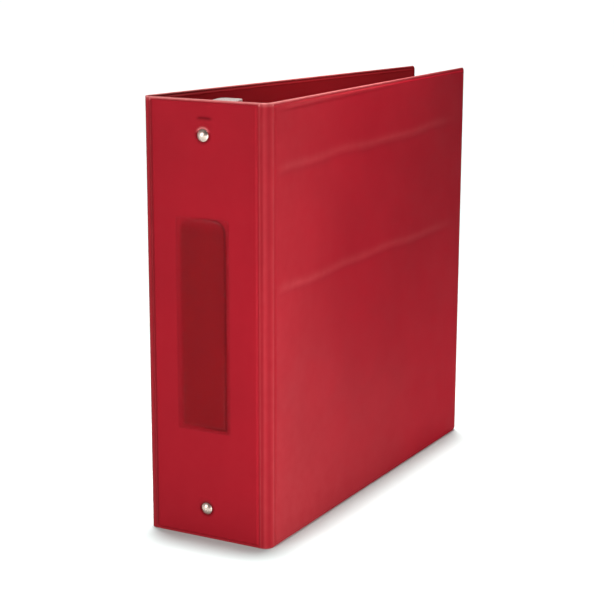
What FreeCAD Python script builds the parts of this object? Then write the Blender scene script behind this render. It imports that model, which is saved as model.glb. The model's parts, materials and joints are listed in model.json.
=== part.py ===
import FreeCAD, Part
import math
import os
import Sketcher

# Three-ring binder with stiff covers sealed in vinyl, standing on its lower edges.
# Frame: the spine's outer face looks along -Y, +Z is up, and the covers reach back along +Y.
# The front cover is on the +X side and the back cover on the -X side.
# Origin: middle of the spine's bottom edge, on the spine panel's middle plane.

Vector = FreeCAD.Vector
Z_AXIS = Vector(0, 0, 1)
X_AXIS = Vector(1, 0, 0)

# ---------------------------------------------------------------- driving dimensions, mm and degrees
DRIVING = {
    "panel_height": (292.1, "height of covers and spine"),
    "spine_half": (40.5, "half width of the stiff spine panel"),
    "cover_depth": (294.0, "width of a stiff cover panel, from its hinge strip to its free edge"),
    "board_thick": (2.3, "chipboard thickness"),
    "skin_thick": (0.45, "vinyl sheet thickness"),
    "seal_width": (3.0, "sealed rim round each board"),
    "corner_radius": (3.0, "rounding of the covers' free corners"),
    "strip_length": (8.6, "flexible strip between spine and cover, along its bend"),
    "front_bend": (88.8, "turn of the front cover out of the spine's plane"),
    "back_bend": (101.5, "turn of the back cover out of the spine's plane"),
    "metal_centre": (145.4, "height of the middle of the ring metal"),
    "metal_half": (138.0, "half length of the ring metal's housing"),
    "metal_sheet": (1.0, "housing sheet thickness"),
    "housing_half": (15.3, "half width of the housing"),
    "crown_height": (10.6, "top of the housing's crown, from the panel's middle plane"),
    "shoulder_height": (7.6, "top of the housing's side walls"),
    "lip_low": (3.5, "underside of the rolled lips"),
    "lip_high": (4.4, "upper side of the rolled lips"),
    "lip_inner": (12.4, "inner edge of the rolled lips, from the middle"),
    "rail_pivot_x": (13.0, "rail bead, from the middle"),
    "rail_pivot_y": (5.6, "rail bead and lever pin, from the panel's middle plane"),
    "rail_width": (12.9, "rail, from its bead to its inner edge"),
    "rail_thick": (1.2, "rail sheet thickness"),
    "rail_bead": (1.0, "radius of the rail's rolled outer edge"),
    "rail_half": (130.8, "half length of a rail"),
    "rail_turn": (7.0, "turn of a rail from closed to open"),
    "ring_radius": (28.0, "centre line radius of a ring"),
    "wire_radius": (2.0, "radius of the ring wire"),
    "ring_pitch": (108.0, "distance between neighbouring rings"),
    "shank_offset": (4.0, "ring shank, from the rail's bead"),
    "shank_length": (5.0, "straight shank, from the rail's middle plane"),
    "elbow_radius": (4.0, "centre line radius of the bend above the housing"),
    "tenon_radius": (1.35, "staked end of a ring, through its rail"),
    "tenon_play": (0.05, "radial play of a staked end in its rail"),
    "tip_gap": (0.05, "gap from each ring tip to the middle plane"),
    "tooth_radius": (1.1, "root radius of the tooth in the ring joint"),
    "tooth_length": (1.2, "length of the tooth in the ring joint"),
    "socket_play": (0.25, "radial play of the tooth in its socket"),
    "socket_room": (0.2, "room in the socket beyond the tooth's end"),
    "slot_inner": (6.2, "inner end of a ring slot in the housing"),
    "slot_outer": (12.2, "outer end of a ring slot in the housing"),
    "slot_half": (2.6, "half height of a ring slot in the housing"),
    "rivet_offset": (124.2, "rivet, from the middle of the ring metal"),
    "rivet_radius": (2.0, "rivet shank radius"),
    "rivet_head": (4.0, "radius of the rivet's domed head"),
    "rivet_dome": (1.6, "height of the rivet's domed head"),
    "clinch_radius": (3.4, "radius of the rivet's clinched end"),
    "clinch_height": (0.9, "height of the rivet's clinched end"),
    "post_radius": (3.0, "spacer post radius"),
    "post_top": (9.45, "upper end of the spacer post"),
    "post_clear": (0.8, "gap between a spacer post and the rails' notches"),
    "easy_fit": (0.1, "radial play of a rivet in its holes"),
    "lever_pivot": (135.0, "lever pin, from the middle of the ring metal"),
    "pin_radius": (1.1, "lever pin radius"),
    "pin_half": (15.9, "half length of a lever pin"),
    "pin_play": (0.05, "radial play of a lever on its pin"),
    "lever_turn": (18.0, "turn of a lever from closed to open"),
    "hub_radius": (2.3, "lever hub radius"),
    "hub_half": (8.0, "half width of the lever's hub"),
    "fork_half": (2.8, "half width of the fork that holds the rails' ends"),
    "fork_reach": (6.8, "fork tips, from the lever pin"),
    "fork_root": (3.4, "bottom of the fork's slot, from the lever pin"),
    "fork_slot": (1.2, "half height of the fork's slot"),
    "fork_finger": (1.1, "thickness of each fork finger"),
    "tab_thick": (1.5, "lever tab thickness"),
    "tab_half": (9.0, "half width of the lever's thumb tab"),
    "tab_bend": (4.2, "centre line radius of the tab's bend"),
    "tab_neck": (2.8, "straight neck between pin and bend"),
    "tab_top": (31.0, "top of the thumb tab, above the pin"),
    "tab_lean": (1.4, "outward lean of the thumb tab at its top"),
    "tab_round": (5.0, "rounding of the thumb tab's corners"),
    "label_left": (-21.0, "label holder's left side"),
    "label_right": (18.5, "label holder's right side"),
    "label_low": (74.5, "label holder's bottom"),
    "label_high": (217.0, "label holder's open top"),
    "label_weld": (2.5, "width of the label holder's welded rim"),
    "label_gap": (0.5, "room for a label behind the film"),
    "label_film": (0.25, "label holder's film thickness"),
    "pocket_near": (14.0, "inside pocket, from the cover panel's hinge edge"),
    "pocket_far": (280.0, "far side of the inside pocket, from the same edge"),
    "pocket_low": (5.0, "bottom of the inside pocket"),
    "pocket_high": (128.0, "open top of the inside pocket"),
    "pocket_thick": (0.35, "inside pocket sheet thickness"),
}


def size(alias):
    """The driving or derived number behind an alias."""
    return DRIVING[alias][0]


def hinge_rise(bend):
    """Distance of a cover's turning axis from the panels' middle plane.

    The strip bends as a circular arc of fixed length, so turning a flat cover about
    one line, half a strip from the spine, carries it exactly to the bent position.
    """
    turn = math.radians(bend)
    return size("strip_length") / turn - size("strip_length") / 2 / math.tan(turn / 2)


def ring_layout():
    """Places on the half ring's centre line: shank, elbow centre, ring centre and angles."""
    tilt = math.radians(size("rail_turn") / 2)
    along = Vector(math.cos(tilt), math.sin(tilt), 0)
    upright = Vector(-math.sin(tilt), math.cos(tilt), 0)
    foot = Vector(size("rail_pivot_x"), size("rail_pivot_y"), 0) - along * size("shank_offset")
    elbow = foot + upright * size("shank_length") + along * size("elbow_radius")
    reach = size("ring_radius") + size("elbow_radius")
    centre_y = elbow.y + math.sqrt(reach ** 2 - elbow.x ** 2)
    start = -math.degrees(math.atan2(centre_y - elbow.y, elbow.x))
    gap = math.degrees(math.asin(size("tip_gap") / size("ring_radius")))
    return {
        "foot_x": (foot.x, "foot of the ring shank on the rail's middle plane"),
        "foot_y": (foot.y, "foot of the ring shank on the rail's middle plane"),
        "elbow_x": (elbow.x, "centre of the ring's elbow"),
        "elbow_y": (elbow.y, "centre of the ring's elbow"),
        "elbow_start": (start + 180, "angle at which the elbow meets the ring"),
        "elbow_sweep": (size("rail_turn") / 2 - start, "turn of the elbow"),
        "ring_centre_y": (centre_y, "centre of the ring"),
        "ring_start": (start, "angle at which the half ring leaves its elbow"),
        "ring_sweep": (90 - gap - start, "turn of the half ring"),
    }


DRIVING.update({
    "front_rise": (hinge_rise(size("front_bend")), "front cover's turning axis, off the panels' plane"),
    "back_rise": (hinge_rise(size("back_bend")), "back cover's turning axis, off the panels' plane"),
    "half_panel": (size("board_thick") / 2 + size("skin_thick"), "half the thickness of a panel"),
})
DRIVING.update(ring_layout())

doc = FreeCAD.newDocument("ring_binder")
dims = doc.addObject("Spreadsheet::Sheet", "dims")
for row, (alias, (amount, meaning)) in enumerate(DRIVING.items(), start=1):
    dims.set(f"A{row}", meaning)
    dims.set(f"B{row}", repr(round(amount, 6)))
    dims.setAlias(f"B{row}", alias)
doc.recompute()

parts = {}


# ---------------------------------------------------------------- helpers
def number(expression):
    """Value of an expression over the sheet's cells."""
    return float(dims.evalExpression(expression))


def cell(alias, sign=1):
    return f"{sign} * <<dims>>.{alias}"


def register(node, thing):
    thing.Label = node
    parts[node] = thing
    return thing


def new_body(node):
    return register(node, doc.addObject("PartDesign::Body", node + "_body"))


def sketch_on(body, name, role, offset=None):
    """Sketch on one of the body's own origin planes, moved along the plane's normal."""
    plane = next(item for item in body.Origin.OriginFeatures if item.Role == role)
    sketch = body.newObject("Sketcher::SketchObject", name)
    sketch.AttachmentSupport = [(plane, "")]
    sketch.MapMode = "FlatFace"
    if offset:
        sketch.setExpression("AttachmentOffset.Base.z", offset)
    return sketch


def pin_down(sketch, kind, geometry, vertex, expression):
    """Dimension tied to an expression, from the sketch's origin."""
    index = sketch.addConstraint(Sketcher.Constraint(kind, geometry, vertex, number(expression)))
    sketch.setExpression(f"Constraints[{index}]", expression)


def outline(sketch, points, arcs=None):
    """Closed outline through points given as expression pairs.

    arcs maps the index of a side to (radius expression, +1 if it turns left or -1 if right).
    """
    arcs = arcs or {}
    places = [Vector(number(x), number(y), 0) for x, y in points]
    first = sketch.GeometryCount
    starts = []
    for index, begin in enumerate(places):
        end = places[(index + 1) % len(places)]
        if index in arcs:
            radius, side = arcs[index]
            arc = arc_between(begin, end, number(radius), side)
            sketch.addGeometry(arc)
            starts.append((1, 2) if side > 0 else (2, 1))
        else:
            sketch.addGeometry(Part.LineSegment(begin, end))
            starts.append((1, 2))
    for index, (x, y) in enumerate(points):
        following = (index + 1) % len(points)
        sketch.addConstraint(Sketcher.Constraint(
            "Coincident", first + index, starts[index][1], first + following, starts[following][0]))
        pin_down(sketch, "DistanceX", first + index, starts[index][0], x)
        pin_down(sketch, "DistanceY", first + index, starts[index][0], y)
    for index, (radius, side) in arcs.items():
        constraint = sketch.addConstraint(Sketcher.Constraint("Radius", first + index, number(radius)))
        sketch.setExpression(f"Constraints[{constraint}]", radius)


def arc_between(begin, end, radius, side):
    """Minor arc from begin to end, turning left for side +1 and right for side -1."""
    chord = end - begin
    normal = Vector(-chord.y, chord.x, 0).normalize() * side
    rise = math.sqrt(radius ** 2 - (chord.Length / 2) ** 2)
    centre = begin + chord / 2 + normal * rise
    angles = [math.atan2(place.y - centre.y, place.x - centre.x) for place in (begin, end)]
    if side < 0:
        angles.reverse()
    if angles[1] < angles[0]:
        angles[1] += 2 * math.pi
    return Part.ArcOfCircle(Part.Circle(centre, Z_AXIS, radius), angles[0], angles[1])


def hole(sketch, x, y, radius):
    """Circle at expression coordinates."""
    place = Vector(number(x), number(y), 0)
    index = sketch.addGeometry(Part.Circle(place, Z_AXIS, number(radius)))
    pin_down(sketch, "DistanceX", index, 3, x)
    pin_down(sketch, "DistanceY", index, 3, y)
    constraint = sketch.addConstraint(Sketcher.Constraint("Radius", index, number(radius)))
    sketch.setExpression(f"Constraints[{constraint}]", radius)


def rectangle(sketch, left, right, low, high):
    outline(sketch, [(left, low), (right, low), (right, high), (left, high)])


def extrude(kind, body, name, sketch, length, reverse=False, symmetric=False):
    """Pad or Pocket of one sketch."""
    feature = body.newObject("PartDesign::" + kind, name)
    feature.Profile = sketch
    feature.setExpression("Length", length)
    feature.Reversed = reverse
    if symmetric:
        feature.SideType = "Symmetric"
    return feature


def cut_checked(body, name, sketch, length, reverse=False, symmetric=False):
    """Pocket that is sure to have removed material."""
    doc.recompute()
    before = body.Shape.Volume
    extrude("Pocket", body, name, sketch, length, reverse, symmetric)
    doc.recompute()
    if body.Shape.Volume >= before - 1e-6:
        raise RuntimeError(f"{name} removed nothing")


def turned(thing, node, kind, **sizes):
    """Part primitive with its sizes bound to the sheet."""
    primitive = doc.addObject("Part::" + kind, f"{node}_{thing}")
    for name, expression in sizes.items():
        primitive.setExpression(name, expression)
    return primitive


def put(thing, x, y, z, axis=Z_AXIS, angle="0"):
    """Place a primitive at expression coordinates, turned about one axis."""
    thing.Placement = FreeCAD.Placement(Vector(number(x), number(y), number(z)),
                                        FreeCAD.Rotation(axis, number(angle)))
    for name, expression in (("x", x), ("y", y), ("z", z)):
        thing.setExpression("Placement.Base." + name, expression)
    return thing


def mirrored(node, source, normal, base=Vector(0, 0, 0)):
    """Mirror image of another piece."""
    image = doc.addObject("Part::Mirroring", node + "_mirror")
    image.Source = source
    image.Normal = normal
    image.Base = base
    return image


# ---------------------------------------------------------------- covers and spine
# Every panel is made flat, in a frame of its own, and a cover's frame has the turning axis
# as its origin, so that the cover's Placement alone bends it round.
PANELS = {
    # name: (inner edge, outer edge, distance of the middle plane below the frame's origin)
    "spine": (cell("spine_half", -1), cell("spine_half"), "0"),
    "front": (cell("strip_length", 0.5), f"{cell('strip_length', 0.5)} + {cell('cover_depth')}",
              cell("front_rise")),
    "back": (cell("strip_length", -0.5), f"{cell('strip_length', -0.5)} - {cell('cover_depth')}",
             cell("back_rise")),
}
SIDES = {"front": 1, "back": -1}


def bend_cover(panel, body):
    """Carry a flat cover piece round its hinge line."""
    if panel not in SIDES:
        return
    side = SIDES[panel]
    body.Placement = FreeCAD.Placement(
        Vector(0, 0, 0), FreeCAD.Rotation(Z_AXIS, side * number(cell(panel + "_bend"))))
    body.setExpression(
        "Placement.Base.x", f"{cell('spine_half', side)} + {cell('strip_length', side * 0.5)}")
    body.setExpression("Placement.Base.y", cell(panel + "_rise"))


def inset(panel, amount):
    """Rectangle of a panel, pulled in by an expression on all four sides."""
    near, far, _ = PANELS[panel]
    side = SIDES.get(panel, 1)
    return (f"{near} + {side} * ({amount})", f"{far} - {side} * ({amount})",
            amount, f"{cell('panel_height')} - ({amount})")


def rivet_holes(sketch):
    for side in (-1, 1):
        hole(sketch, "0", f"{cell('metal_centre')} + {cell('rivet_offset', side)}",
             f"{cell('rivet_radius')} + {cell('easy_fit')}")


def pierce(panel, body, node):
    """Rivet holes through a spine piece."""
    if panel != "spine":
        return
    holes = sketch_on(body, node + "_rivet_holes", "XZ_Plane")
    rivet_holes(holes)
    cut_checked(body, node + "_holes", holes, f"4 * {cell('half_panel')}", symmetric=True)


def round_edges(body, name, wanted, radius):
    """Fillet on the edges of the body's last shape whose two ends both pass a test."""
    doc.recompute()
    base = body.Tip
    names = []
    for index, edge in enumerate(base.Shape.Edges, start=1):
        ends = [vertex.Point for vertex in edge.Vertexes]
        if len(ends) == 2 and wanted(*ends):
            names.append(f"Edge{index}")
    fillet = body.newObject("PartDesign::Fillet", name)
    fillet.Base = (base, names)
    fillet.setExpression("Radius", radius)


def round_free_corners(panel, body, node):
    """Round the corners at a cover's free edge."""
    if panel not in SIDES:
        return
    free_edge = number(PANELS[panel][1])
    round_edges(body, node + "_corners", lambda begin, end: (
        math.hypot(begin.x - end.x, begin.z - end.z) < 1e-6 and abs(begin.x - free_edge) < 1e-6),
        cell("corner_radius"))


def make_board(panel):
    """Chipboard panel."""
    node = panel + "_board"
    body = new_body(node)
    face = sketch_on(body, node + "_face", "XZ_Plane", PANELS[panel][2])
    rectangle(face, *inset(panel, cell("seal_width")))
    extrude("Pad", body, node + "_pad", face, cell("board_thick"), symmetric=True)
    pierce(panel, body, node)
    bend_cover(panel, body)


def make_skin(panel, which):
    """One vinyl sheet of a panel: a flat sealed rim round a tray that fits half the board."""
    node = f"{panel}_{which}_vinyl"
    inward = which == "inner"
    body = new_body(node)
    middle = PANELS[panel][2]
    rim = sketch_on(body, node + "_rim", "XZ_Plane", middle)
    rectangle(rim, *inset(panel, "0"))
    extrude("Pad", body, node + "_rim_pad", rim, cell("skin_thick"), reverse=inward)
    round_free_corners(panel, body, node)
    tray = sketch_on(body, node + "_tray", "XZ_Plane", middle)
    rectangle(tray, *inset(panel, f"{cell('seal_width')} - {cell('skin_thick')}"))
    extrude("Pad", body, node + "_tray_pad", tray, cell("half_panel"), reverse=inward)
    hollow = sketch_on(body, node + "_hollow", "XZ_Plane", middle)
    rectangle(hollow, *inset(panel, cell("seal_width")))
    cut_checked(body, node + "_hollow_cut", hollow, cell("board_thick", 0.5), reverse=not inward)
    pierce(panel, body, node)
    bend_cover(panel, body)


def make_inside_pocket(panel):
    """Vinyl sheet sealed low on the inside of a cover, open at the top."""
    node = panel + "_inside_pocket"
    side = SIDES[panel]
    near, _, middle = PANELS[panel]
    body = new_body(node)
    face = sketch_on(body, node + "_face", "XZ_Plane", f"{middle} - {cell('half_panel')}")
    rectangle(face, f"{near} + {cell('pocket_near', side)}", f"{near} + {cell('pocket_far', side)}",
              cell("pocket_low"), cell("pocket_high"))
    extrude("Pad", body, node + "_pad", face, cell("pocket_thick"), reverse=True)
    bend_cover(panel, body)


def make_hinge_strip(panel):
    """Both vinyl sheets sealed together and bent as an arc from the spine to the cover."""
    node = panel + "_hinge_strip"
    bend = cell(panel + "_bend")
    radius = f"({cell('strip_length')} / ({bend} * pi / 180))"
    sector = {}
    for name, sign in (("outer", "+"), ("inner", "-")):
        sector[name] = turned(name, node, "Cylinder", Radius=f"{radius} {sign} {cell('skin_thick')}",
                              Height=cell("panel_height"), Angle=bend)
    strip = doc.addObject("Part::Cut", node + "_arc")
    strip.Base = sector["outer"]
    strip.Tool = sector["inner"]
    # A cylinder's sector starts on its local X axis: the front strip starts at the spine,
    # straight below the arc's centre, and the back strip ends there.
    start = "-90" if panel == "front" else f"-90 - {bend}"
    put(strip, cell("spine_half", SIDES[panel]), radius, "0", Z_AXIS, start)
    register(node, strip)


def make_label_holder():
    """Clear film pocket on the outside of the spine, welded on three sides."""
    node = "spine_label_holder"
    body = new_body(node)
    left, right, low, high = (cell("label_" + name) for name in ("left", "right", "low", "high"))
    film = sketch_on(body, node + "_film", "XZ_Plane", cell("half_panel"))
    rectangle(film, left, right, low, high)
    extrude("Pad", body, node + "_film_pad", film, f"{cell('label_gap')} + {cell('label_film')}")
    room = sketch_on(body, node + "_room", "XZ_Plane", cell("half_panel"))
    weld = cell("label_weld")
    rectangle(room, f"{left} + {weld}", f"{right} - {weld}", f"{low} + {weld}", f"{high} + {weld}")
    cut_checked(body, node + "_room_cut", room, cell("label_gap"), reverse=True)


for panel in PANELS:
    make_board(panel)
    make_skin(panel, "outer")
    make_skin(panel, "inner")
for panel in SIDES:
    make_hinge_strip(panel)
    make_inside_pocket(panel)
make_label_holder()


# ---------------------------------------------------------------- ring metal: fixed pieces
def make_housing():
    """Arched steel cover with side walls, rolled lips, ring slots, rivet holes and pin holes."""
    node = "ring_housing"
    body = new_body(node)
    sheet = cell("metal_sheet")
    half, crown, shoulder = size("housing_half"), size("crown_height"), size("shoulder_height")
    rise = crown - shoulder
    arch = (half ** 2 + rise ** 2) / (2 * rise)
    inner_half = f"({cell('housing_half')} - {sheet})"
    arch_radius = (f"((<<dims>>.housing_half ^ 2 + (<<dims>>.crown_height - <<dims>>.shoulder_height) ^ 2)"
                   f" / (2 * (<<dims>>.crown_height - <<dims>>.shoulder_height)))")
    inner_radius = f"({arch_radius} - {sheet})"
    inner_shoulder = repr(round(
        crown - arch + math.sqrt((arch - size("metal_sheet")) ** 2 - (half - size("metal_sheet")) ** 2), 6))
    profile = sketch_on(body, node + "_profile", "XY_Plane")
    low, lip = cell("lip_low"), cell("lip_high")
    outline(profile, [
        (cell("lip_inner"), low), (cell("housing_half"), low),
        (cell("housing_half"), cell("shoulder_height")), (cell("housing_half", -1), cell("shoulder_height")),
        (cell("housing_half", -1), low), (cell("lip_inner", -1), low),
        (cell("lip_inner", -1), lip), ("-" + inner_half, lip),
        ("-" + inner_half, inner_shoulder), (inner_half, inner_shoulder),
        (inner_half, lip), (cell("lip_inner"), lip),
    ], arcs={2: (arch_radius, 1), 8: (inner_radius, -1)})
    extrude("Pad", body, node + "_pad", profile, f"2 * {cell('metal_half')}")

    slots = sketch_on(body, node + "_slots", "XZ_Plane")
    for step in (-1, 0, 1):
        middle = f"{cell('metal_half')} + {cell('ring_pitch', step)}"
        for side in SIDES.values():
            rectangle(slots, cell("slot_inner", side), cell("slot_outer", side),
                      f"{middle} - {cell('slot_half')}", f"{middle} + {cell('slot_half')}")
    for side in (-1, 1):
        hole(slots, "0", f"{cell('metal_half')} + {cell('rivet_offset', side)}",
             f"{cell('rivet_radius')} + {cell('easy_fit')}")
    cut_checked(body, node + "_slot_cut", slots, f"2 * {cell('crown_height')}")

    pin_holes = sketch_on(body, node + "_pin_holes", "YZ_Plane")
    for side in (-1, 1):
        hole(pin_holes, cell("rail_pivot_y"), f"{cell('metal_half')} + {cell('lever_pivot', side)}",
             cell("pin_radius"))
    cut_checked(body, node + "_pin_cut", pin_holes, f"4 * {cell('housing_half')}", symmetric=True)
    body.setExpression("Placement.Base.z", f"{cell('metal_centre')} - {cell('metal_half')}")


def make_lever_pin(end, side):
    """Cross pin pressed into the housing's side walls."""
    node = end + "_lever_pin"
    rod = turned("rod", node, "Cylinder", Radius=cell("pin_radius"), Height=cell("pin_half", 2))
    put(rod, cell("pin_half", -1), cell("rail_pivot_y"),
        f"{cell('metal_centre')} + {cell('lever_pivot', side)}", Vector(0, 1, 0), "90")
    register(node, rod)


def revolved(node, points, arcs, side):
    """Body of revolution about the Y axis at a rivet's place."""
    body = new_body(node)
    profile = sketch_on(body, node + "_profile", "XY_Plane")
    outline(profile, points, arcs)
    turn = body.newObject("PartDesign::Revolution", node + "_turn")
    turn.Profile = profile
    turn.ReferenceAxis = (profile, ["V_Axis"])
    turn.Angle = 360
    body.setExpression("Placement.Base.z", f"{cell('metal_centre')} + {cell('rivet_offset', side)}")


def make_rivet(end, side):
    """Rivet with a domed head on the spine's outside and a clinched end on the housing."""
    face, crown, shank = cell("half_panel", -1), cell("crown_height"), cell("rivet_radius")
    head, dome, clinch, rise = (
        cell(name) for name in ("rivet_head", "rivet_dome", "clinch_radius", "clinch_height"))
    dome_radius = f"(({head}) ^ 2 + ({dome}) ^ 2) / (2 * {dome})"
    clinch_dome = f"(({clinch}) ^ 2 + ({rise}) ^ 2) / (2 * {rise})"
    revolved(end + "_rivet", [
        ("0", f"{face} - {dome}"), (head, face), (shank, face), (shank, crown),
        (clinch, crown), ("0", f"{crown} + {rise}"),
    ], {0: (dome_radius, 1), 4: (clinch_dome, 1)}, side)


def make_rivet_post(end, side):
    """Spacer tube between the spine and the housing's crown."""
    bore = f"{cell('rivet_radius')} + {cell('easy_fit')}"
    low, high, outer = cell("half_panel"), cell("post_top"), cell("post_radius")
    revolved(end + "_rivet_post", [(bore, low), (outer, low), (outer, high), (bore, high)], {}, side)


make_housing()
for end, side in (("top", 1), ("bottom", -1)):
    make_lever_pin(end, side)
    make_rivet(end, side)
    make_rivet_post(end, side)


# ---------------------------------------------------------------- ring metal: rails and rings
def make_rails():
    """Two snap rails, each a plate with a rolled bead that turns in the housing's lips."""
    node = "front_ring_rail"
    body = new_body(node)
    plate = sketch_on(body, node + "_plate", "XZ_Plane")
    end, inner = cell("rail_half"), cell("rail_width", -1)
    gap = f"({cell('post_radius')} + {cell('post_clear')})"
    notch_x = f"{gap} - {cell('rail_pivot_x')}"
    post = cell("rivet_offset")
    outline(plate, [
        ("0", f"-({end})"), ("0", end), (inner, end),
        (inner, f"{post} + {gap}"), (notch_x, f"{post} + {gap}"),
        (notch_x, f"{post} - {gap}"), (inner, f"{post} - {gap}"),
        (inner, f"-({post} - {gap})"), (notch_x, f"-({post} - {gap})"),
        (notch_x, f"-({post} + {gap})"), (inner, f"-({post} + {gap})"),
        (inner, f"-({end})"),
    ])
    for step in (-1, 0, 1):
        hole(plate, cell("shank_offset", -1), cell("ring_pitch", step),
             f"{cell('tenon_radius')} + {cell('tenon_play')}")
    extrude("Pad", body, node + "_pad", plate, cell("rail_thick"), symmetric=True)
    bead = sketch_on(body, node + "_bead", "XY_Plane")
    hole(bead, "0", "0", cell("rail_bead"))
    extrude("Pad", body, node + "_bead_pad", bead, cell("rail_half", 2), symmetric=True)
    body.Placement = FreeCAD.Placement(
        Vector(0, 0, 0), FreeCAD.Rotation(Z_AXIS, number(cell("rail_turn", 0.5))))
    for axis, alias in (("x", "rail_pivot_x"), ("y", "rail_pivot_y"), ("z", "metal_centre")):
        body.setExpression("Placement.Base." + axis, cell(alias))
    register("back_ring_rail", mirrored("back_ring_rail", body, X_AXIS))


def make_half_rings(place, step):
    """Front and back half of one ring, with a tooth on the front tip and its socket on the back."""
    height = f"{cell('metal_centre')} + {cell('ring_pitch', step)}"
    tilt = cell("rail_turn", 0.5)
    node = f"front_{place}_half_ring"
    wire = cell("wire_radius")
    bow = turned("bow", node, "Torus", Radius1=cell("ring_radius"), Radius2=wire, Angle3=cell("ring_sweep"))
    put(bow, "0", cell("ring_centre_y"), height, Z_AXIS, cell("ring_start"))
    elbow = turned("elbow", node, "Torus", Radius1=cell("elbow_radius"), Radius2=wire,
                   Angle3=cell("elbow_sweep"))
    put(elbow, cell("elbow_x"), cell("elbow_y"), height, Z_AXIS, cell("elbow_start"))
    half_rail = cell("rail_thick", 0.5)
    upright = FreeCAD.Rotation(Z_AXIS, number(tilt)) * FreeCAD.Rotation(X_AXIS, -90)
    rods = []
    for name, radius, low, length in (
            ("shank", wire, half_rail, f"{cell('shank_length')} - {half_rail}"),
            ("tenon", cell("tenon_radius"), cell("rail_thick", -0.5), cell("rail_thick"))):
        rod = turned(name, node, "Cylinder", Radius=radius, Height=length)
        put(rod, f"{cell('foot_x')} - ({low}) * sin({tilt})", f"{cell('foot_y')} + ({low}) * cos({tilt})",
            height)
        rod.Placement = FreeCAD.Placement(rod.Placement.Base, upright)
        rods.append(rod)
    plain = doc.addObject("Part::MultiFuse", node + "_plain")
    plain.Shapes = [bow, elbow] + rods
    top = f"{cell('ring_centre_y')} + {cell('ring_radius')}"

    tooth = turned("tooth", node, "Cone", Radius1=cell("tooth_radius"), Radius2=cell("tooth_radius", 0.5),
                   Height=cell("tooth_length"))
    put(tooth, cell("tip_gap"), top, height, Vector(0, 1, 0), "-90")
    front = doc.addObject("Part::Fuse", node + "_whole")
    front.Base = plain
    front.Tool = tooth
    register(node, front)

    node = f"back_{place}_half_ring"
    play = cell("socket_play")
    socket = turned("socket", node, "Cone", Radius1=f"{cell('tooth_radius')} + {play}",
                    Radius2=f"{cell('tooth_radius', 0.5)} + {play}",
                    Height=f"{cell('tooth_length')} + {cell('socket_room')}")
    put(socket, cell("tip_gap"), top, height, Vector(0, 1, 0), "-90")
    back = doc.addObject("Part::Cut", node + "_whole")
    back.Base = mirrored(node, plain, X_AXIS)
    back.Tool = socket
    register(node, back)


make_rails()
for place, step in (("top", 1), ("middle", 0), ("bottom", -1)):
    make_half_rings(place, step)


# ---------------------------------------------------------------- opening levers
def make_levers():
    """Lever at each end: a hub on the pin, a fork over the rails' ends and a thumb tab."""
    node = "top_lever"
    body = new_body(node)
    turn = cell("lever_turn", 0.5)
    hub = sketch_on(body, node + "_hub", "YZ_Plane")
    hole(hub, "0", "0", cell("hub_radius"))
    extrude("Pad", body, node + "_hub_pad", hub, cell("hub_half", 2), symmetric=True)

    # The fork lies along a line that dips below the pin by half the lever's turn.
    def on_fork(above, along):
        return (f"({above}) * cos({turn}) - ({along}) * sin({turn})",
                f"0 - ({above}) * sin({turn}) - ({along}) * cos({turn})")

    slot, reach, root = cell("fork_slot"), cell("fork_reach"), cell("fork_root")
    outer = f"({slot} + {cell('fork_finger')})"
    fork = sketch_on(body, node + "_fork", "YZ_Plane")
    outline(fork, [
        on_fork(outer, "0"), on_fork(outer, reach), on_fork(slot, reach), on_fork(slot, root),
        on_fork("-" + slot, root), on_fork("-" + slot, reach), on_fork("-" + outer, reach),
        on_fork("-" + outer, "0"),
    ])
    extrude("Pad", body, node + "_fork_pad", fork, cell("fork_half", 2), symmetric=True)

    half = cell("tab_thick", 0.5)
    neck, bend, tip, lean = (cell("tab_" + name) for name in ("neck", "bend", "top", "lean"))
    out = f"({neck} + {bend})"
    tab = sketch_on(body, node + "_tab", "YZ_Plane")
    outline(tab, [
        (f"-({half})", "0"), (half, "0"), (half, neck),
        (bend, f"{out} - {half}"), (tip, f"{out} + {lean} - {half}"),
        (tip, f"{out} + {lean} + {half}"), (bend, f"{out} + {half}"), (f"-({half})", neck),
    ], arcs={2: (f"{bend} - {half}", -1), 6: (f"{bend} + {half}", 1)})
    extrude("Pad", body, node + "_tab_pad", tab, cell("tab_half", 2), symmetric=True)
    round_edges(body, node + "_tab_corners", lambda begin, end: (
        math.hypot(begin.x - end.x, begin.y - end.y) < 1e-6 and begin.y > size("tab_top") - 1e-6),
        cell("tab_round"))

    bore = sketch_on(body, node + "_bore", "YZ_Plane")
    hole(bore, "0", "0", f"{cell('pin_radius')} + {cell('pin_play')}")
    cut_checked(body, node + "_bore_cut", bore, cell("tab_half", 4), symmetric=True)
    body.setExpression("Placement.Base.y", cell("rail_pivot_y"))
    body.setExpression("Placement.Base.z", f"{cell('metal_centre')} + {cell('lever_pivot')}")
    middle = Vector(0, 0, size("metal_centre"))
    register("bottom_lever", mirrored("bottom_lever", body, Z_AXIS, middle))


make_levers()

# ---------------------------------------------------------------- checks and files
doc.recompute()
for item in doc.Objects:
    if "Invalid" in item.State or "Error" in item.State:
        raise RuntimeError(f"{item.Label}: {item.State}")
for node, item in parts.items():
    shape = item.Shape
    if shape.isNull() or not shape.isValid() or len(shape.Solids) != 1:
        raise RuntimeError(f"{node}: bad shape, {len(shape.Solids)} solids")

os.makedirs("parts", exist_ok=True)
for node, item in parts.items():
    item.Shape.exportStep(f"parts/{node}.step")
    box = item.Shape.BoundBox
    print(f"{node:26s} {item.Shape.Volume:11.2f} mm3  x {box.XMin:8.2f} {box.XMax:8.2f}"
          f"  y {box.YMin:8.2f} {box.YMax:8.2f}  z {box.ZMin:8.2f} {box.ZMax:8.2f}")
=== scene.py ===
"""Looks of a red vinyl ring binder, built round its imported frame. Metres, +Z up, spine facing -Y."""
import json
import math

import bpy
import numpy as np
from mathutils import Matrix, Vector


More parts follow.
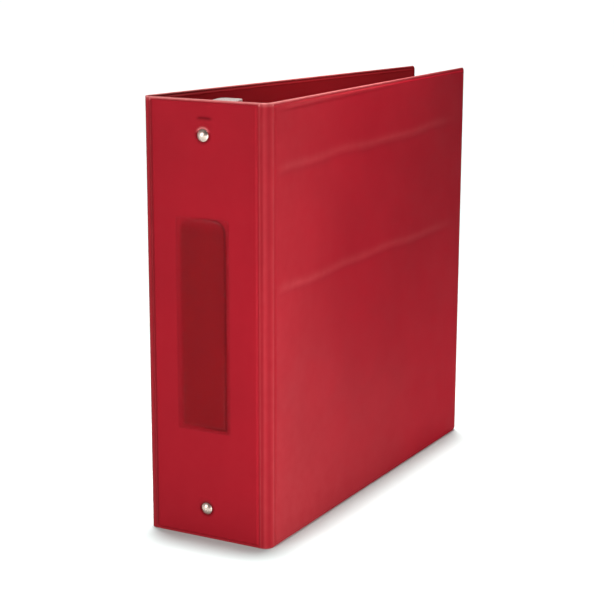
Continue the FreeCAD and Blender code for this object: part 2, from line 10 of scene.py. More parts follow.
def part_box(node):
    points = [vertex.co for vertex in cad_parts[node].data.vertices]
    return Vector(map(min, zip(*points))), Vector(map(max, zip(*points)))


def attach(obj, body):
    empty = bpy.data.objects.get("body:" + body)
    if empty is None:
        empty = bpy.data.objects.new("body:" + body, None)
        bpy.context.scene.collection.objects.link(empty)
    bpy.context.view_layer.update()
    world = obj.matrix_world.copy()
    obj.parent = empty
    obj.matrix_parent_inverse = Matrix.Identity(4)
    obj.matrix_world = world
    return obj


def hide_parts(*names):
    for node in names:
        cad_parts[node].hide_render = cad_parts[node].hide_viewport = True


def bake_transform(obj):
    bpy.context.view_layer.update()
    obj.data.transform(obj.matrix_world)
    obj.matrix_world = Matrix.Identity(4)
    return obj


MM = 0.001
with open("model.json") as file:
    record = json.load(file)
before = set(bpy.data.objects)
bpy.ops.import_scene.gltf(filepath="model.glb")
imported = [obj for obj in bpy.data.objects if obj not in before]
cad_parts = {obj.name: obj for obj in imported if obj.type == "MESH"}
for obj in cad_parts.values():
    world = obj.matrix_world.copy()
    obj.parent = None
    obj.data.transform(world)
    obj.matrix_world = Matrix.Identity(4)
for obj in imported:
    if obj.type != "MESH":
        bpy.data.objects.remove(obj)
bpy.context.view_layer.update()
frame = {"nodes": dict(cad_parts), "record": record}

# ---------------------------------------------------------------- sizes read from the frame
JOINTS = {joint["name"]: joint for joint in frame["record"]["behaviour"]["joints"]}
SPINE_LOW, SPINE_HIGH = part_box("spine_outer_vinyl")
SPINE_HALF, HEIGHT = SPINE_HIGH.x, SPINE_HIGH.z
FACE = -SPINE_LOW.y                              # a panel's face above its middle plane
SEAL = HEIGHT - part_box("spine_board")[1].z       # sealed rim round a board
SKIN = SEAL * 0.15                               # one vinyl sheet
RIVETS = [sum(corner.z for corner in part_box(node)) / 2 for node in ("top_rivet", "bottom_rivet")]


class Panel:
    """One stiff panel: places on it are (along, proud, up) from its hinge edge and middle plane."""

    def __init__(self, name):
        self.name = name
        self.body = "spine" if name == "spine" else name + "_cover"
        if name == "spine":
            self.start = Vector((-SPINE_HALF, 0, 0))
            self.along = Vector((1, 0, 0))
            self.outward = Vector((0, -1, 0))
        else:
            side = 1 if name == "front" else -1
            joint = JOINTS[name + "_cover_hinge"]
            axis = Vector(joint["pos_m"])
            bend = math.radians(joint["range_deg"][1]) * side
            turn = Matrix.Rotation(bend, 3, "Z")
            hinge_edge = Vector((axis.x - side * SPINE_HALF, -axis.y, 0))
            self.start = Vector((axis.x, axis.y, 0)) + turn @ hinge_edge
            self.along = turn @ Vector((side, 0, 0))
            self.outward = turn @ Vector((0, -1, 0))
        board = frame["nodes"][name + "_board"].data.vertices
        self.length = max((v.co - self.start).dot(self.along) for v in board) + SEAL

    def place(self, along, proud, up):
        """World points of arrays of panel places."""
        return (np.array(self.start) + along[..., None] * np.array(self.along)
                + proud[..., None] * np.array(self.outward) + up[..., None] * np.array((0, 0, 1)))


PANELS = {name: Panel(name) for name in ("spine", "front", "back")}


# ---------------------------------------------------------------- mesh helpers
def smooth(value):
    """0 to 1 with level ends."""
    value = np.clip(value, 0, 1)
    return value * value * (3 - 2 * value)


def bell(value, width):
    return np.exp(-(value / width) ** 2)


def lines(low, high, step, zones=()):
    """Grid places: coarse steps, with finer ones inside the zones (start, end, step)."""
    coarse = np.linspace(low, high, max(2, round((high - low) / step) + 1))
    for start, end, _ in zones:
        coarse = coarse[(coarse < start - step * 0.2) | (coarse > end + step * 0.2)]
    fine = [np.linspace(a, b, round((b - a) / s) + 1) for a, b, s in zones]
    return np.unique(np.round(np.concatenate([coarse, [low, high], *fine]), 6))


def closed_sheet(name, top, bottom, attributes=()):
    """Solid between two grids of points of the same shape."""
    rows, columns = top.shape[:2]
    count = rows * columns
    index = np.arange(count).reshape(rows, columns)
    quads = np.stack([index[:-1, :-1], index[:-1, 1:], index[1:, 1:], index[1:, :-1]], -1).reshape(-1, 4)
    rim = np.concatenate([index[0, :], index[1:, -1], index[-1, -2::-1], index[-2:0:-1, 0]])
    following = np.roll(rim, -1)
    sides = np.stack([rim, rim + count, following + count, following], -1)
    faces = np.concatenate([quads, quads[:, ::-1] + count, sides])
    mesh = bpy.data.meshes.new(name)
    points = np.concatenate([top.reshape(-1, 3), bottom.reshape(-1, 3)])
    mesh.from_pydata(points.tolist(), [], faces.tolist())
    for label, values in attributes:
        layer = mesh.attributes.new(label, "FLOAT", "POINT")
        layer.data.foreach_set("value", np.concatenate([values.ravel()] * 2).astype(np.float32))
    return finish_mesh(name, mesh)


def finish_mesh(name, mesh):
    """Object with outward normals, smooth faces and sharp folds."""
    mesh.validate()
    piece = bpy.data.objects.new(name, mesh)
    bpy.context.scene.collection.objects.link(piece)
    bpy.context.view_layer.objects.active = piece
    piece.select_set(True)
    bpy.ops.object.mode_set(mode="EDIT")
    bpy.ops.mesh.select_all(action="SELECT")
    bpy.ops.mesh.normals_make_consistent(inside=False)
    bpy.ops.object.mode_set(mode="OBJECT")
    piece.select_set(False)
    mesh.shade_smooth()
    mesh.set_sharp_from_angle(angle=math.radians(50))
    return piece


def dress(piece, material, slot, *nodes):
    piece.data.materials.clear()
    piece.data.materials.append(material)
    if nodes:
        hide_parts(*nodes)
    return piece


# ---------------------------------------------------------------- materials
class Tree:
    """Short way to write a node material."""

    def __init__(self, name):
        self.material = bpy.data.materials.new(name)
        self.material.use_nodes = True
        self.nodes = self.material.node_tree.nodes
        self.links = self.material.node_tree.links
        self.shader = self.nodes["Principled BSDF"]
        self.coords = self.add("ShaderNodeTexCoord").outputs["Object"]

    def add(self, kind, inputs=None, **settings):
        node = self.nodes.new(kind)
        for key, value in settings.items():
            setattr(node, key, value)
        for key, value in (inputs or {}).items():
            self.feed(node.inputs[key], value)
        return node

    def feed(self, socket, value):
        if isinstance(value, bpy.types.NodeSocket):
            self.links.new(value, socket)
        else:
            socket.default_value = value

    def noise(self, scale, detail=3.0, stretch=(1, 1, 1)):
        """Noise texture whose scale counts features per metre."""
        mapping = self.add("ShaderNodeMapping", {"Vector": self.coords, "Scale": stretch})
        texture = self.add("ShaderNodeTexNoise", {
            "Vector": mapping.outputs[0], "Scale": scale, "Detail": detail})
        return texture.outputs["Fac"]

    def ramp(self, value, low, high, to_low=0.0, to_high=1.0):
        node = self.add("ShaderNodeMapRange", {
            "Value": value, "From Min": low, "From Max": high, "To Min": to_low, "To Max": to_high})
        return node.outputs["Result"]

    def mix(self, factor, first, second):
        node = self.add("ShaderNodeMix", data_type="RGBA")
        self.feed(node.inputs["Factor"], factor)
        self.feed(node.inputs["A"], first)
        self.feed(node.inputs["B"], second)
        return node.outputs["Result"]

    def math(self, operation, first, second):
        node = self.add("ShaderNodeMath", operation=operation)
        self.feed(node.inputs[0], first)
        self.feed(node.inputs[1], second)
        return node.outputs[0]

    def bump(self, value, distance, strength=1.0, below=None):
        node = self.add("ShaderNodeBump", {"Height": value, "Distance": distance, "Strength": strength})
        if below is not None:
            self.feed(node.inputs["Normal"], below)
        return node.outputs["Normal"]

    def set(self, **values):
        for key, value in values.items():
            self.feed(self.shader.inputs[key.replace("_", " ")], value)


def rgba(red, green, blue):
    return (red, green, blue, 1.0)


PALE_WEAR_AND_HIGHLIGHT = (0.86, 0.36, 0.34)                   # colour of vinyl whitened by stretching, and of painted highlights


def vinyl(name, base, roughness=0.42, gloss=0.03, least_pale=0.55):
    """Calendered vinyl: fine leather grain, cloudy tone, pale worn edges mixed with painted highlights, and
    painted shade, both read from point attributes.
    """
    tree = Tree(name)
    cloudy = tree.ramp(tree.noise(16, 4), 0.3, 0.7)
    shade = tree.mix(cloudy, rgba(*[c * 0.93 for c in base]), rgba(*[min(1, c * 1.05) for c in base]))
    # paler colour: real wear on the rims, plus painted highlights on ridges, rivet lips, the top rim and a
    # cover's hinge and foot
    wear_and_highlight = tree.add("ShaderNodeAttribute", attribute_name="wear_and_highlight").outputs["Fac"]
    broken_pale = tree.math("MULTIPLY", wear_and_highlight, tree.ramp(tree.noise(130, 2), 0.2, 0.8, least_pale, 0.85))
    pale = rgba(*[0.45 * c + 0.55 * p for c, p in zip(base, PALE_WEAR_AND_HIGHLIGHT)])
    # painted shade: darkens the vinyl towards 30% of its colour in folds, grooves, creases and round the
    # rivets
    painted_shade = tree.add("ShaderNodeAttribute", attribute_name="painted_shade").outputs["Fac"]
    tone_with_painted_light = tree.mix(painted_shade, tree.mix(broken_pale, shade, pale), rgba(*[c * 0.30 for c in base]))
    tree.set(Base_Color=tone_with_painted_light)
    tree.set(Roughness=tree.ramp(tree.noise(45, 5), 0.3, 0.7, roughness - 0.05, roughness + 0.06))
    pebbles = tree.add("ShaderNodeTexVoronoi", {"Vector": tree.coords, "Scale": 900.0})
    grain = tree.bump(pebbles.outputs["Distance"], 0.00006, 0.5)
    grain = tree.bump(tree.noise(2600, 2), 0.00003, 0.5, grain)
    tree.set(Normal=tree.bump(tree.noise(26, 2), 0.0006, 0.25, grain))
    tree.set(Specular_IOR_Level=gloss, IOR=1.22)
    return tree.material


def clear_film(name, tint):
    """Clear film over vinyl, a little cloudy, with painted highlight lines and painted shade lines, both read
    from point attributes.
    """
    tree = Tree(name)
    haze = tree.ramp(tree.noise(60, 4, (1, 1, 0.35)), 0.3, 0.7)
    wear_and_highlight = tree.add("ShaderNodeAttribute", attribute_name="wear_and_highlight").outputs["Fac"]
    painted_shade = tree.add("ShaderNodeAttribute", attribute_name="painted_shade").outputs["Fac"]
    window = tree.add("ShaderNodeAttribute", attribute_name="window").outputs["Fac"]
    cloud = tree.mix(haze, rgba(*tint), rgba(*[c * 1.5 for c in tint]))
    # painted shade: darker film along the window's edge and the welded rim
    cloud = tree.mix(painted_shade, cloud, rgba(*[c * 0.2 for c in tint]))
    # painted highlight: pale pink lines of light on the film's rim and low in the window, also made more
    # opaque
    tree.set(Base_Color=tree.mix(wear_and_highlight, cloud, rgba(0.50, 0.10, 0.10)))
    tree.set(Roughness=tree.ramp(tree.noise(90, 4), 0.3, 0.7, 0.16, 0.26))
    tree.set(Normal=tree.bump(tree.noise(38, 2), 0.0005, 0.5), Specular_IOR_Level=0.08)
    body = tree.math("ADD", tree.ramp(window, 0, 1, 0.04, 0.22), tree.math("MULTIPLY", painted_shade, 0.30))
    tree.set(Alpha=tree.math("ADD", body, tree.math("MULTIPLY", wear_and_highlight, 0.35)))
    return tree.material


def plated(name, base, roughness, brush=(1, 1, 1), brush_scale=1800):
    """Nickel plate: fine rub marks along the working direction and slightly clouded shine."""
    tree = Tree(name)
    cloudy = tree.ramp(tree.noise(70, 4), 0.3, 0.7)
    tree.set(Base_Color=tree.mix(cloudy, rgba(*[c * 0.86 for c in base]), rgba(*base)))
    rub = tree.noise(brush_scale, 4, brush)
    tree.set(Roughness=tree.ramp(rub, 0.3, 0.7, roughness * 0.85, roughness * 1.2))
    tree.set(Normal=tree.bump(rub, 0.000002, 0.12), Metallic=1.0)
    return tree.material


def chipboard(name):
    """Grey-brown pressed fibre."""
    tree = Tree(name)
    flecks = tree.ramp(tree.noise(420, 6), 0.35, 0.65)
    tree.set(Base_Color=tree.mix(flecks, rgba(0.30, 0.24, 0.17), rgba(0.52, 0.43, 0.31)))
    tree.set(Roughness=0.9, Normal=tree.bump(tree.noise(800, 5), 0.0001, 0.6))
    return tree.material


RED = (0.207, 0.0048, 0.0105)
# lining: a lighter copy of the cover's red, painted light making up for the dim inside of the file
LINING = (0.25, 0.0090, 0.0125)
POCKET = (0.24, 0.0085, 0.0125)
MATERIALS = {
    "cover_vinyl": vinyl("cover vinyl", RED),
    "lining_vinyl": vinyl("lining vinyl", LINING, roughness=0.46),
    "pocket_vinyl": vinyl("pocket vinyl", POCKET, roughness=0.34, gloss=0.06),
    "label_film": clear_film("label film", (0.115, 0.002, 0.002)),
    "board": chipboard("chipboard"),
    # pinkish nickel: partly a painted reflection of the red vinyl round it
    "plated_steel": plated("nickel sheet", (0.70, 0.58, 0.54), 0.30, brush=(1, 1, 0.06)),
    "ring_wire": plated("nickel wire", (0.67, 0.66, 0.63), 0.16, brush_scale=1200),
    # pinkish brown nickel: partly a painted reflection of the red vinyl round it
    "bright_steel": plated("nickel rivet", (0.58, 0.45, 0.385), 0.30, brush_scale=1500),
}


# ---------------------------------------------------------------- vinyl panels
CORNER = 3.0 * MM                                # rounding of free corners
RIM_STEP = 0.3 * MM                              # grid step near a rim
FINE_BAND = 8.0 * MM                             # width of the rim's finely stepped band
DRAPE_START = 1.3 * MM                           # where the vinyl leaves the seal, outside the board
DRAPE_ROUND = 1.8 * MM                           # rounding of the drape's corners
DRAPE_RUN = 1.15 * MM                            # width of the slope up to a board's face
SETTLE = 0.20 * MM                               # how far a sheet's middle lies below the panel's face


def past_corner(along, up, length):
    """How far places lie past the centre of their nearest free corner's arc, each way."""
    return (np.maximum(0, along - (length - CORNER)),
            np.maximum(0, np.abs(up - HEIGHT / 2) - (HEIGHT / 2 - CORNER)))


def arc_scale(past_one, past_other):
    """Factor that brings the places of a square corner onto arcs."""
    return np.maximum(past_one, past_other) / np.maximum(np.hypot(past_one, past_other), 1e-9)


def round_corners(along, up, length):
    """Move the grid's free corners onto arcs."""
    past_end, past_side = past_corner(along, up, length)
    both = (past_end > 0) & (past_side > 0)
    scale = arc_scale(past_end, past_side)
    along = np.where(both, length - CORNER + past_end * scale, along)
    side = np.sign(up - HEIGHT / 2)
    up = np.where(both, HEIGHT / 2 + side * (HEIGHT / 2 - CORNER + past_side * scale), up)
    return along, up


def inside_by(along, up, length, rounded):
    """Distance in from the outline, with round free corners on covers."""
    distance = np.minimum(np.minimum(along, length - along), np.minimum(up, HEIGHT - up))
    if rounded:
        past_end, past_side = past_corner(along, up, length)
        corner = CORNER - np.hypot(past_end, past_side)
        distance = np.where((past_end > 0) & (past_side > 0), corner, distance)
    return np.maximum(distance, 0)


def rim_profile(edge_distance):
    """Height of a sheet's rounded rim."""
    return SKIN * np.sqrt(1 - np.clip(1 - edge_distance / SKIN, 0, 1) ** 2 * 0.96)


def tray_depth(along, up, length, inset, radius):
    """Distance in from the foot of the raised board area, which has round corners."""
    side = inset + radius - np.minimum(along, length - along)
    end = inset + radius - np.minimum(up, HEIGHT - up)
    outside = np.where((side > 0) & (end > 0), np.hypot(side, end), np.maximum(side, end))
    return radius - outside


RIDGES = ((250.0, 0.42, 0.014), (173.0, 0.38, 0.006))    # each one's height and rise in mm, and its climb
FOLD_DROP = 6.0 * MM                             # the fold's start below the cover's top edge
FOLD_CLIMB = 0.012


def cover_ridges(along, up):
    """Relief, painted shade and painted highlights of the front cover's two long ridges and of the fold under
    its top edge: lighter above each, darker below.
    """
    relief, painted_shade, wear_and_highlight = np.zeros_like(up), np.zeros_like(up), np.zeros_like(up)
    for height, rise, climb in RIDGES:
        wander = climb * along + 0.9 * MM * np.sin(along * 34 + height) + 0.5 * MM * np.sin(along * 87)
        above = up - height * MM - wander
        relief += rise * MM * np.where(above > 0, bell(above, 5.5 * MM), bell(above, 1.7 * MM))
        relief -= 0.10 * MM * bell(above + 4.0 * MM, 2.2 * MM)
        # painted highlight on each ridge's upper slope and painted shade just below it
        wear_and_highlight += 0.05 * bell(above - 1.0 * MM, 2.6 * MM)
        painted_shade += 0.10 * bell(above + 3.2 * MM, 1.8 * MM)
    across = smooth(along / 0.012) * smooth((0.285 - along) / 0.05)
    fold = up - HEIGHT + FOLD_DROP - along * FOLD_CLIMB
    within = smooth(along / 0.03) * smooth((0.21 - along) / 0.08)
    relief = relief * across - 0.12 * MM * bell(fold, 1.0 * MM) * within
    # painted shade in the fold under the top edge, painted highlight just above it
    painted_shade = painted_shade * across + 0.24 * bell(fold, 0.9 * MM) * within
    wear_and_highlight = wear_and_highlight * across + 0.05 * bell(fold - 2.2 * MM, 1.2 * MM) * within
    return relief, painted_shade, wear_and_highlight


CREASE_RISE = 11.0 * MM                          # the crease's height above the upper rivet
HIGHLIGHT_COLLARS = (0.75, 0.10)                      # painted highlight above the upper and the lower rivet
SHADE_ALL_ROUND = (0.0, 1.0)                        # how far each rivet's painted shade runs right round it


def rivet_marks(along, up):
    """Relief of the vinyl drawn in at the rivets, with painted shade round them and in a crease above the
    upper one, and painted highlights above them.
    """
    across = along - SPINE_HALF
    relief, painted_shade, wear_and_highlight = np.zeros_like(up), np.zeros_like(up), np.zeros_like(up)
    for height, pale, all_round in zip(RIVETS, HIGHLIGHT_COLLARS, SHADE_ALL_ROUND):
        reach = np.hypot(across, up - height)
        relief += 0.15 * MM * bell(reach - 6.0 * MM, 1.5 * MM) - 0.16 * MM * bell(reach, 4.8 * MM)
        below = smooth((height - up + 3 * MM) / (3 * MM))
        # painted shade round each rivet's dimple, painted highlight on the lip above it
        painted_shade += 0.65 * bell(reach - 4.4 * MM, 1.2 * MM) * np.maximum(below, all_round)
        wear_and_highlight += pale * bell(reach - 4.6 * MM, 0.7 * MM) * smooth((up - height - MM) / (3 * MM))
    within = smooth((7.0 * MM - np.abs(across - 1 * MM)) / (4 * MM))
    crease = up - (RIVETS[0] + CREASE_RISE) + across ** 2 * 10
    relief += (0.16 * MM * bell(crease + 2.2 * MM, 1.3 * MM) - 0.14 * MM * bell(crease, 0.9 * MM)) * within
    # painted shade in the crease
    painted_shade += 0.70 * bell(crease, 1.0 * MM) * within
    return relief, painted_shade, wear_and_highlight


MARKS = {"front": cover_ridges, "spine": rivet_marks}


def slack(along, up, seed):
    """Gentle unevenness of a sheet that is sealed only at its rim."""
    return 0.05 * MM * (np.sin(along * 41 + seed) * np.sin(up * 29 + 2 * seed)
                        + 0.7 * np.sin(along * 17 - up * 63 + 3 * seed) + 0.4 * np.sin(up * 118 + along * 23))


def rim_wear_and_highlight(edge_distance, up):
    """Paleness of a sealed rim: faint wear all round, and a strong painted highlight along the top, where
    light from above catches it.
    """
    return bell(edge_distance, 1.0 * MM) * (0.10 + 0.90 * smooth((up - HEIGHT + 3 * MM) / (2 * MM)))


def pale_tone_and_painted_light(along, up, name):
    """Paler vinyl: the whole spine a little paler in tone, and painted light on a cover near its hinge and
    its foot, where sheen and light from the floor brighten it.
    """
    if name == "spine":
        return np.full_like(up, 0.018)
    by_hinge = 0.042 * (1 - smooth(along / 0.13))
    by_foot = 0.050 * smooth((0.13 - up) / 0.13) * (1 - smooth((along - 0.12) / 0.14))
    return by_hinge + by_foot


def make_skin(panel, which):
    """One vinyl sheet of a panel: sealed rim, draped board edge, worn rims, and painted shade and painted
    highlights on the panel's folds, ridges and rivets.
    """
    outer = which == "outer"
    name = f"{panel.name}_{which}_vinyl"
    rounded = panel.name != "spine"
    length = panel.length
    along_zones = [(0, FINE_BAND, RIM_STEP), (length - FINE_BAND, length, RIM_STEP)]
    up_zones = [(0, FINE_BAND, RIM_STEP), (HEIGHT - FINE_BAND, HEIGHT, RIM_STEP)]
    if panel.name == "spine":
        along_zones.append((SPINE_HALF - 13 * MM, SPINE_HALF + 13 * MM, 0.5 * MM))
        up_zones += [(height - 12 * MM, height + 16 * MM, 0.5 * MM) for height in RIVETS]
        up_zones[1] = (RIVETS[0] + 16 * MM, HEIGHT, RIM_STEP)
    along, up = np.meshgrid(lines(0, length, 3.5 * MM, along_zones), lines(0, HEIGHT, 1.6 * MM, up_zones))
    if rounded:
        along, up = round_corners(along, up, length)
    edge_distance = inside_by(along, up, length, rounded)
    foot = tray_depth(along, up, length, SEAL - DRAPE_START, DRAPE_ROUND)
    drape = smooth(foot / DRAPE_RUN)
    proud = rim_profile(edge_distance) + (FACE - SKIN) * drape
    proud -= 0.14 * MM * bell(edge_distance - 1.5 * MM, 0.32 * MM)
    seed = {"spine": 1.0, "front": 2.3, "back": 4.1}[panel.name] + (0 if outer else 7)
    surface = slack(along, up, seed)
    wear_and_highlight = rim_wear_and_highlight(edge_distance, up) * (1 if panel.name == "spine" else 1 - 0.8 * along / length)
    if outer:
        # painted shade in the fold at the foot of the drape
        painted_shade = 0.09 * bell(foot, 0.7 * MM)
        wear_and_highlight = wear_and_highlight + pale_tone_and_painted_light(along, up, panel.name)
    else:
        # painted shade along the inner drape's slope at the board's edge
        painted_shade = 0.85 * bell(foot - 0.5 * MM, 1.0 * MM)
    # ridge and rivet marks: relief, painted shade and painted highlights
    if outer and panel.name in MARKS:
        relief, marks_shade, marks_highlight = MARKS[panel.name](along, up)
        surface, painted_shade, wear_and_highlight = surface + relief, painted_shade + marks_shade, wear_and_highlight + marks_highlight
    proud = proud + drape * (surface - SETTLE)
    side = 1 if outer else -1
    under = np.maximum(proud - SKIN, 0)
    piece = closed_sheet(name + "_sheet", panel.place(along, side * proud, up),
                         panel.place(along, side * under, up),
                         [("wear_and_highlight", np.clip(wear_and_highlight, 0, 1)), ("painted_shade", np.clip(painted_shade, 0, 1))])
    slot = "cover_vinyl" if outer else "lining_vinyl"
    dress(piece, MATERIALS[slot], slot, name)
    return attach(piece, panel.body)


def make_hinge_strip(name):
    """Sealed vinyl pair bent from the spine to a cover, with a pressed score on each side, painted shade in
    the score and the hollow and painted highlights on the ribs.
    """
    side = 1 if name == "front" else -1
    joint = JOINTS[name + "_cover_hinge"]
    bend = math.radians(joint["range_deg"][1])
    strip = 2 * (abs(joint["pos_m"][0]) - SPINE_HALF)
    radius = strip / bend
    run, up = np.meshgrid(lines(0, strip, 0.22 * MM), lines(0, HEIGHT, 3.0 * MM, [
        (0, 1.2 * MM, RIM_STEP), (HEIGHT - 1.2 * MM, HEIGHT, RIM_STEP)]))
    edge_distance = np.minimum(up, HEIGHT - up)
    score = bell(run - 0.10 * strip, 0.5 * MM)
    hollow = bell(run - 0.62 * strip, 1.3 * MM)
    ribs = bell(run - 0.30 * strip, 0.8 * MM) + bell(run - 0.93 * strip, 0.7 * MM)
    half = rim_profile(edge_distance) - 0.20 * MM * score - 0.12 * MM * hollow + 0.08 * MM * ribs
    half = np.clip(half + 0.02 * MM * np.sin(up * 55 + run * 900), 0.05 * MM, SKIN + 0.08 * MM)

    def on_arc(offset):
        angle = run / strip * bend
        across = (radius + offset) * np.sin(angle)
        return np.stack([side * (SPINE_HALF + across), radius - (radius + offset) * np.cos(angle), up], -1)

    # worn rim with a painted highlight along its top, a little paleness all over, painted highlights on the
    # ribs; painted shade in the score and the hollow
    wear_and_highlight = np.clip(rim_wear_and_highlight(edge_distance, up) + 0.05 + 0.03 * ribs, 0, 1)
    piece = closed_sheet(name + "_hinge_strip_sheet", on_arc(half), on_arc(-half),
                         [("wear_and_highlight", wear_and_highlight), ("painted_shade", 0.14 * score + 0.24 * hollow)])
    dress(piece, MATERIALS["cover_vinyl"], "cover_vinyl", name + "_hinge_strip")
    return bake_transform(piece)


def window_depth(across, up, width, tall):
    """Distance in from the outline of the unwelded part of the label holder, round at its top corners."""
    left, right, foot, radius = 4.2 * MM, 3.0 * MM, 3.0 * MM, 8.0 * MM
    sides = np.minimum(across - left, width - right - across)
    top = tall - 1.5 * MM - up
    corner = radius - np.hypot(np.maximum(0, radius - sides), np.maximum(0, radius - top))
    return np.minimum(np.where((sides < radius) & (top < radius), corner, np.minimum(sides, top)), up - foot)


def make_label_holder():
    """Clear film pocket, welded on three sides and open at its round-cornered top, with painted highlight
    lines and painted shade lines.
    """
    low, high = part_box("spine_label_holder")
    width, tall = high.x - low.x, high.z - low.z
    rise = high.y - low.y
    across, up = np.meshgrid(
        lines(0, width, 1.6 * MM, [(0, 11 * MM, 0.35 * MM), (width - 6 * MM, width, 0.35 * MM)]),
        lines(0, tall, 3.0 * MM, [(0, 6 * MM, 0.35 * MM), (tall - 12 * MM, tall, 0.4 * MM)]))
    past_side = np.maximum(0, np.abs(across - width / 2) - (width / 2 - CORNER))
    past_top = np.maximum(0, up - (tall - CORNER))
    both = (past_side > 0) & (past_top > 0)
    scale = arc_scale(past_side, past_top)
    side = np.sign(across - width / 2)
    across = np.where(both, width / 2 + side * (width / 2 - CORNER + past_side * scale), across)
    up = np.where(both, tall - CORNER + past_top * scale, up)
    rim = np.minimum(np.minimum(across, width - across), up)
    window = window_depth(across, up, width, tall)
    lifted = smooth(window / (1.6 * MM))
    belly = 0.10 * MM * np.sin(up / tall * math.pi * 2.4) * np.sin(across / width * math.pi)
    film = 0.24 * MM
    outer = 0.30 * MM + (rise - 0.42 * MM) * lifted + belly * lifted
    inner = np.maximum(outer - film, 0.02 * MM)
    tone = smooth((window + 3.2 * MM) / (4.8 * MM)) * (0.35 + 0.65 * smooth((tall - up) / (10 * MM)))
    # painted highlights: a line of light along the rim and one low in the window
    wear_and_highlight = np.clip(0.14 * bell(rim, 0.5 * MM) + 0.16 * bell(window - 1.3 * MM, 0.5 * MM)
                   * smooth((tall * 0.5 - up) / (tall * 0.4)), 0, 1)
    # painted shade along the window's edge, stronger to the right, and inside the welded rim
    painted_shade = np.clip(0.6 * bell(window, 0.8 * MM) * smooth((across - width * 0.3) / (width * 0.5))
                    + 0.12 * bell(rim - 0.8 * MM, 0.6 * MM), 0, 1)

    def on_spine(proud):
        return np.stack([low.x + across, -FACE + 0.1 * MM - proud, low.z + up], -1)

    piece = closed_sheet("spine_label_pocket", on_spine(outer), on_spine(inner),
                         [("wear_and_highlight", wear_and_highlight), ("painted_shade", painted_shade), ("window", tone)])
    dress(piece, MATERIALS["label_film"], "label_film", "spine_label_holder")
    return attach(piece, "spine")


def make_inside_pocket(name):
    """Vinyl pocket low on the inside of a cover, welded on three sides, slightly slack at its mouth."""
    panel = PANELS[name]
    node = name + "_inside_pocket"
    corners = [v.co - panel.start for v in frame["nodes"][node].data.vertices]
    start, end = (pick(c.dot(panel.along) for c in corners) for pick in (min, max))
    low, high = (pick(c.z for c in corners) for pick in (min, max))
    thick = 0.35 * MM
    along, up = np.meshgrid(
        lines(start, end, 3.5 * MM, [(start, start + 5 * MM, 0.35 * MM), (end - 5 * MM, end, 0.35 * MM)]),
        lines(low, high, 2.5 * MM, [(low, low + 5 * MM, 0.35 * MM), (high - 3 * MM, high, 0.5 * MM)]))
    rim = np.minimum(np.minimum(along - start, end - along), up - low)
    mouth = smooth((up - low) / (high - low))
    middle = np.sin((along - start) / (end - start) * math.pi)
    loose = 0.35 * MM * mouth * middle * smooth((rim - 3 * MM) / (12 * MM))
    weld = 0.14 * MM * (bell(rim - 1.6 * MM, 0.35 * MM) + bell(rim - 2.8 * MM, 0.35 * MM))
    hem = 0.16 * MM * smooth((up - high + 2.2 * MM) / (0.4 * MM))
    top = FACE + thick + loose - weld + hem
    under = FACE - 0.1 * MM + loose
    wear_and_highlight = np.clip(0.6 * bell(rim, 0.6 * MM) + 0.6 * bell(high - up, 0.6 * MM), 0, 1)
    piece = closed_sheet(node + "_sheet", panel.place(along, -top, up), panel.place(along, -under, up),
                         [("wear_and_highlight", wear_and_highlight)])
    dress(piece, MATERIALS["pocket_vinyl"], "pocket_vinyl", node)
    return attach(piece, panel.body)


for panel in PANELS.values():
    make_skin(panel, "outer")
    make_skin(panel, "inner")
for name in ("front", "back"):
    make_hinge_strip(name)
    make_inside_pocket(name)
make_label_holder()


# ---------------------------------------------------------------- carried-over metal and boards
SLOT_OF = {part["node"]: part["material_slot"] for part in frame["record"]["subparts"]}
for node, thing in frame["nodes"].items():
    if not thing.hide_render:
        thing.data.materials.clear()
        thing.data.materials.append(MATERIALS[SLOT_OF[node]])


# ---------------------------------------------------------------- stage, light and camera
def make_floor():
    mesh = bpy.data.meshes.new("floor")
    reach = 30.0
    mesh.from_pydata([(-reach, -reach, 0), (reach, -reach, 0), (reach, reach, 0), (-reach, reach, 0)],
                     [], [(0, 1, 2, 3)])
    floor = bpy.data.objects.new("floor", mesh)
    bpy.context.scene.collection.objects.link(floor)
    tree = Tree("pale floor")
    tree.set(Base_Color=rgba(0.60, 0.66, 0.65), Roughness=0.9, Specular_IOR_Level=0.1)
    mesh.materials.append(tree.material)


def make_area_light(name, place, target, size, power):
    data = bpy.data.lights.new(name, "AREA")
    data.shape = "RECTANGLE"
    data.size, data.size_y = size
    data.energy = power
    light = bpy.data.objects.new(name, data)
    light.location = place
    light.rotation_mode = "QUATERNION"
    light.rotation_quaternion = (Vector(target) - Vector(place)).to_track_quat("-Z", "Y")
    light.visible_camera = False
    bpy.context.scene.collection.objects.link(light)


def make_sun(name, toward, strength, spread):
    data = bpy.data.lights.new(name, "SUN")
    data.energy = strength
    data.angle = math.radians(spread)
    light = bpy.data.objects.new(name, data)
    light.rotation_mode = "QUATERNION"
    light.rotation_quaternion = Vector(toward).to_track_quat("-Z", "Y")
    bpy.context.scene.collection.objects.link(light)


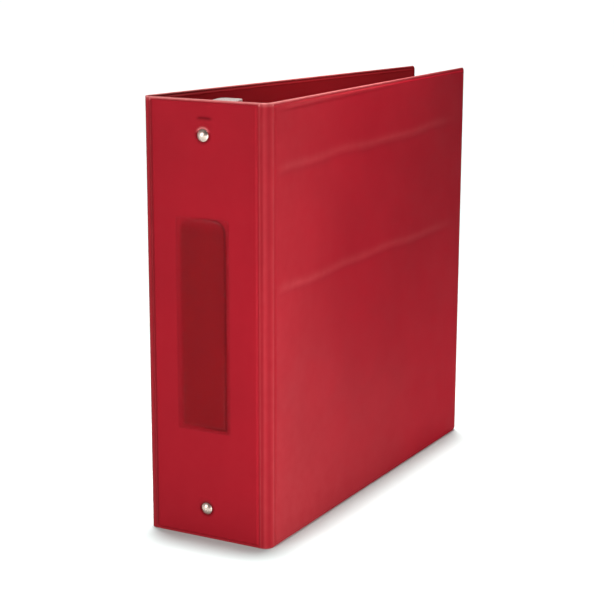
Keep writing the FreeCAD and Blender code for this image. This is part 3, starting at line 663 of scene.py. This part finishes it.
def make_world():
    """Pale surroundings: brightest low in front and to the left, dim behind, to the right and overhead."""
    world = bpy.data.worlds.new("soft surroundings")
    world.use_nodes = True
    nodes, links = world.node_tree.nodes, world.node_tree.links
    split = nodes.new("ShaderNodeSeparateXYZ")
    links.new(nodes.new("ShaderNodeTexCoord").outputs["Generated"], split.inputs[0])

    def fade(value, low, high, at_low, at_high):
        node = nodes.new("ShaderNodeMapRange")
        for label, number in (("From Min", low), ("From Max", high), ("To Min", at_low), ("To Max", at_high)):
            node.inputs[label].default_value = number
        links.new(value, node.inputs["Value"])
        return node.outputs["Result"]

    def product(first, second):
        node = nodes.new("ShaderNodeMath")
        node.operation = "MULTIPLY"
        links.new(first, node.inputs[0])
        links.new(second, node.inputs[1])
        return node.outputs[0]

    low_band = fade(split.outputs["Z"], 0.06, 0.40, 1.0, 0.30)
    front = fade(split.outputs["Y"], -0.5, 0.7, 1.0, 0.70)
    left = fade(split.outputs["X"], -0.4, 0.7, 1.0, 0.12)
    links.new(product(product(low_band, front), left), nodes["Background"].inputs["Strength"])
    nodes["Background"].inputs["Color"].default_value = rgba(1, 1, 1)
    bpy.context.scene.world = world


def make_light():
    make_world()
    make_sun("overhead light", (0.040, -0.070, -1.0), 4.9, 7)
    make_area_light("spine softbox", (-0.7, -1.5, 0.52), (0, 0, 0.26), (0.6, 0.4), 14.3)
    make_area_light("cover softbox", (0.60, -0.28, 0.08), (-0.20, -0.90, -0.04), (0.3, 0.10), 12.6)
    make_area_light("fore-edge softbox", (0.24, 0.29, 0.02), (0.05, 0.28, 0.02), (0.2, 0.03), 0.34)
    make_area_light("top strip", (0.055, 0.15, 0.43), (0.04, 0.15, 0), (0.02, 0.24), 0.80)
    bpy.context.scene.view_settings.view_transform = "Standard"


CAMERA_PLACE = (0.5278, -0.8657, 0.3994)
CAMERA_YAW, CAMERA_PITCH, CAMERA_ROLL = 27.68, -13.38, -0.22
CAMERA_LENS = 94.5


def make_camera():
    data = bpy.data.cameras.new("camera")
    data.lens = CAMERA_LENS
    data.sensor_width = 36.0
    data.clip_start, data.clip_end = 0.05, 100.0
    camera = bpy.data.objects.new("camera", data)
    turn = (Matrix.Rotation(math.radians(CAMERA_YAW), 4, "Z")
            @ Matrix.Rotation(math.radians(CAMERA_PITCH), 4, "X")
            @ Matrix.Rotation(math.radians(CAMERA_ROLL), 4, "Y")
            @ Matrix.Rotation(math.pi / 2, 4, "X"))
    camera.matrix_world = Matrix.Translation(CAMERA_PLACE) @ turn
    bpy.context.scene.collection.objects.link(camera)
    bpy.context.scene.camera = camera


make_floor()
make_light()
make_camera()
